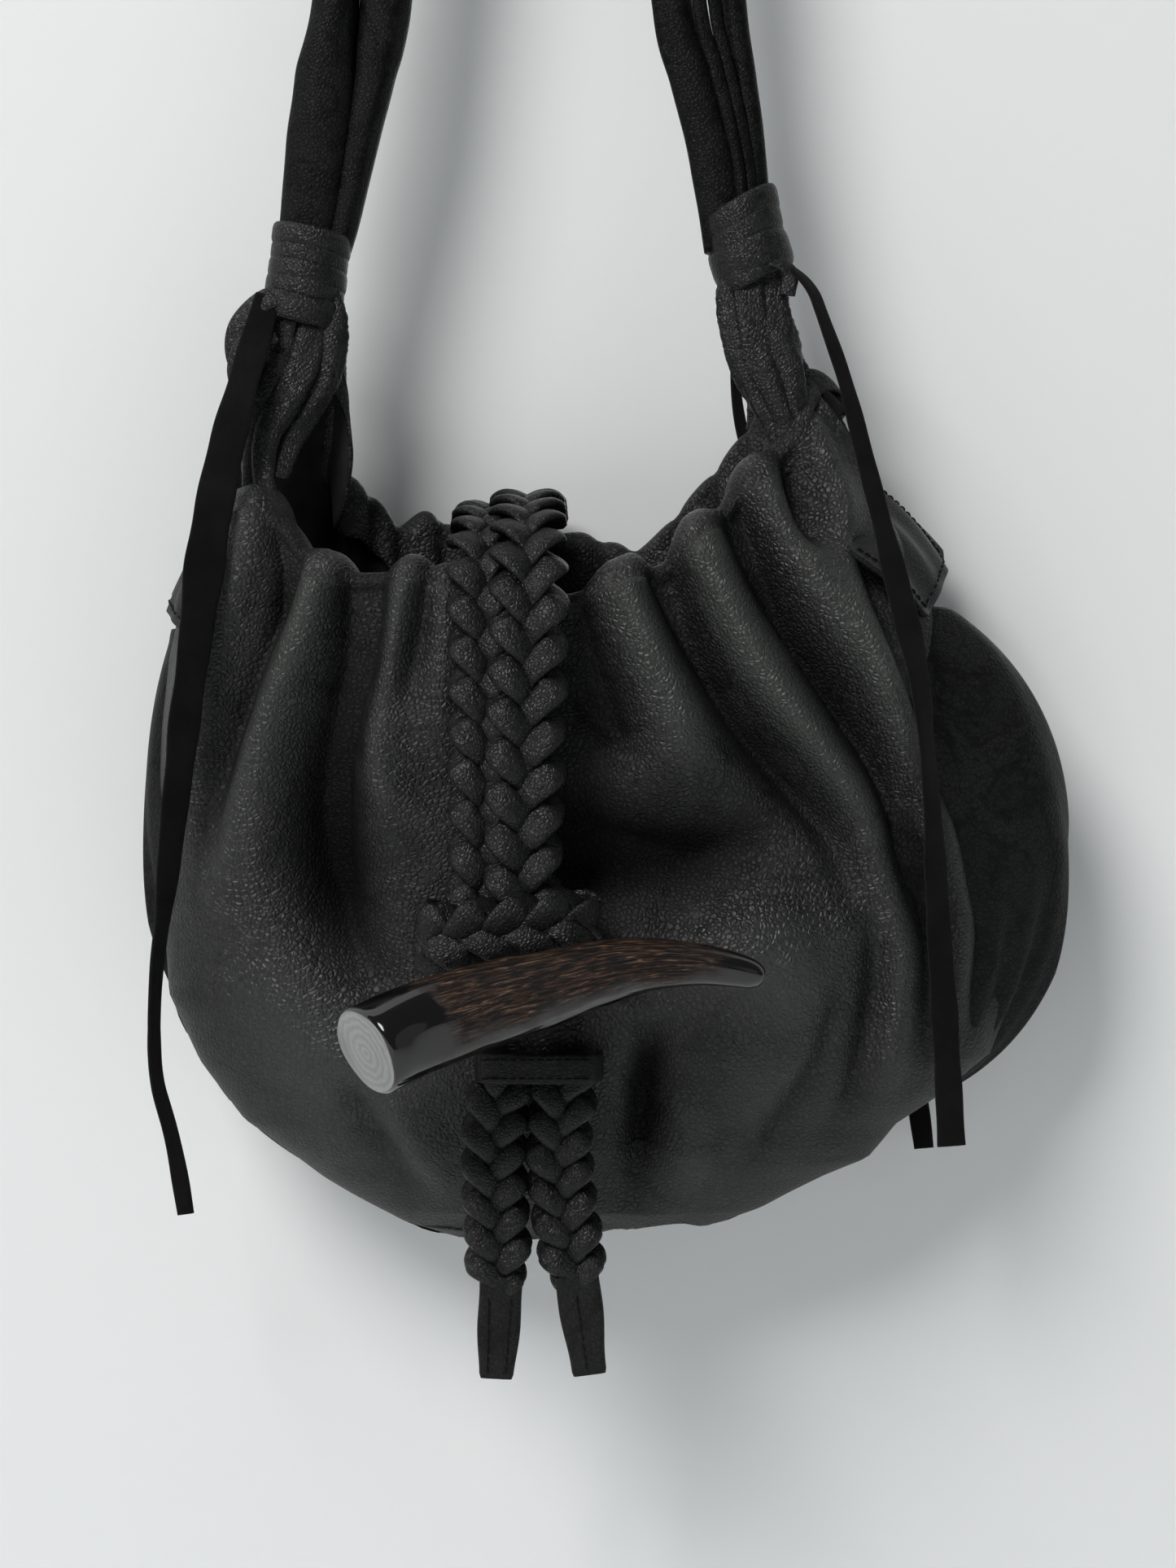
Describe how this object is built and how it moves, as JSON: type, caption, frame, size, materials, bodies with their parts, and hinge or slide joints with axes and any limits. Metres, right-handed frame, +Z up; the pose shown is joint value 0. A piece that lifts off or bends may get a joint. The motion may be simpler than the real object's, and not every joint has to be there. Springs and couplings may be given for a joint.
{
  "type": "drawstring shoulder bag",
  "caption": "Gathered black leather shoulder bag hung by its strap, with a braided closure, sliding ring, horn toggle, braided tails, lace ends and side pockets.",
  "frame": {"origin": "underside of the strap's top, where a hook or peg carries it", "axes": "+Z up along the hanging bag, -Y towards the front with the toggle, +X to the viewer's right"},
  "size_m": [0.2945, 0.1409, 0.7122],
  "materials": {
    "black_leather": "pebbled, soft satin",
    "black_suede": "napped, matt",
    "horn": "polished ends, rough streaked middle",
    "lining_cloth": "matt cotton"
  },
  "bodies": {
    "strap": {"strap_strand_outer": "black_leather", "strap_strand_inner": "black_leather"},
    "bag": {"front_panel": "black_leather", "back_panel": "black_leather", "lining": "lining_cloth", "front_draw_strip": "black_leather", "back_draw_strip": "black_leather", "wrap_left": "black_leather", "wrap_right": "black_leather", "lace_left": "black_suede", "lace_right": "black_suede", "lace_rear": "black_suede", "pocket_left": "black_leather", "pocket_right": "black_leather", "closure_anchor_tab": "black_leather", "keeper_band": "black_leather", "tail_root_left": "black_leather", "tail_root_right": "black_leather", "toggle_lace": "black_suede", "toggle_washer": "black_leather"},
    "closure": {"closure_braid_left": "black_leather", "closure_braid_right": "black_leather", "closure_loop": "black_leather"},
    "ring": {"closure_ring": "black_leather"},
    "toggle": {"toggle_horn": "horn"},
    "tail_left": {"tail_braid_left": "black_leather", "tail_tip_left": "black_leather"},
    "tail_right": {"tail_braid_right": "black_leather", "tail_tip_right": "black_leather"},
    "flap_left": {"flap_left": "black_leather"},
    "flap_right": {"flap_right": "black_leather"}
  },
  "joints": [
    {"name": "strap_fold", "type": "hinge", "parent": "strap", "child": "bag", "pos_m": [-0.0055, 0, -0.3172], "axis": [0.9969, 0, 0.0791], "range_deg": [-110, 0]},
    {"name": "closure_lift", "type": "hinge", "parent": "bag", "child": "closure", "pos_m": [-0.0093, 0.036, -0.4226], "axis": [-1, 0, 0], "range_deg": [0, 90], "deforming": ["closure_loop"]},
    {"name": "ring_slide", "type": "slide", "parent": "closure", "child": "ring", "axis": [0, 0, 1], "range_m": [0, 0.045]},
    {"name": "toggle_swivel", "type": "hinge", "parent": "bag", "child": "toggle", "pos_m": [-0.0093, -0.06, -0.5726], "axis": [0, -1, 0], "range_deg": [-100, 80]},
    {"name": "tail_left_swing", "type": "hinge", "parent": "bag", "child": "tail_left", "pos_m": [-0.0106, -0.0486, -0.605], "axis": [-1, 0, 0], "range_deg": [-5, 35]},
    {"name": "tail_right_swing", "type": "hinge", "parent": "bag", "child": "tail_right", "pos_m": [0.008, -0.0486, -0.605], "axis": [-1, 0, 0], "range_deg": [-5, 35]},
    {"name": "flap_left_lift", "type": "hinge", "parent": "bag", "child": "flap_left", "pos_m": [-0.1056, 0, -0.42], "axis": [0, 1, 0], "range_deg": [0, 100]},
    {"name": "flap_right_lift", "type": "hinge", "parent": "bag", "child": "flap_right", "pos_m": [0.1115, 0, -0.4175], "axis": [0, -1, 0], "range_deg": [0, 100]}
  ]
}
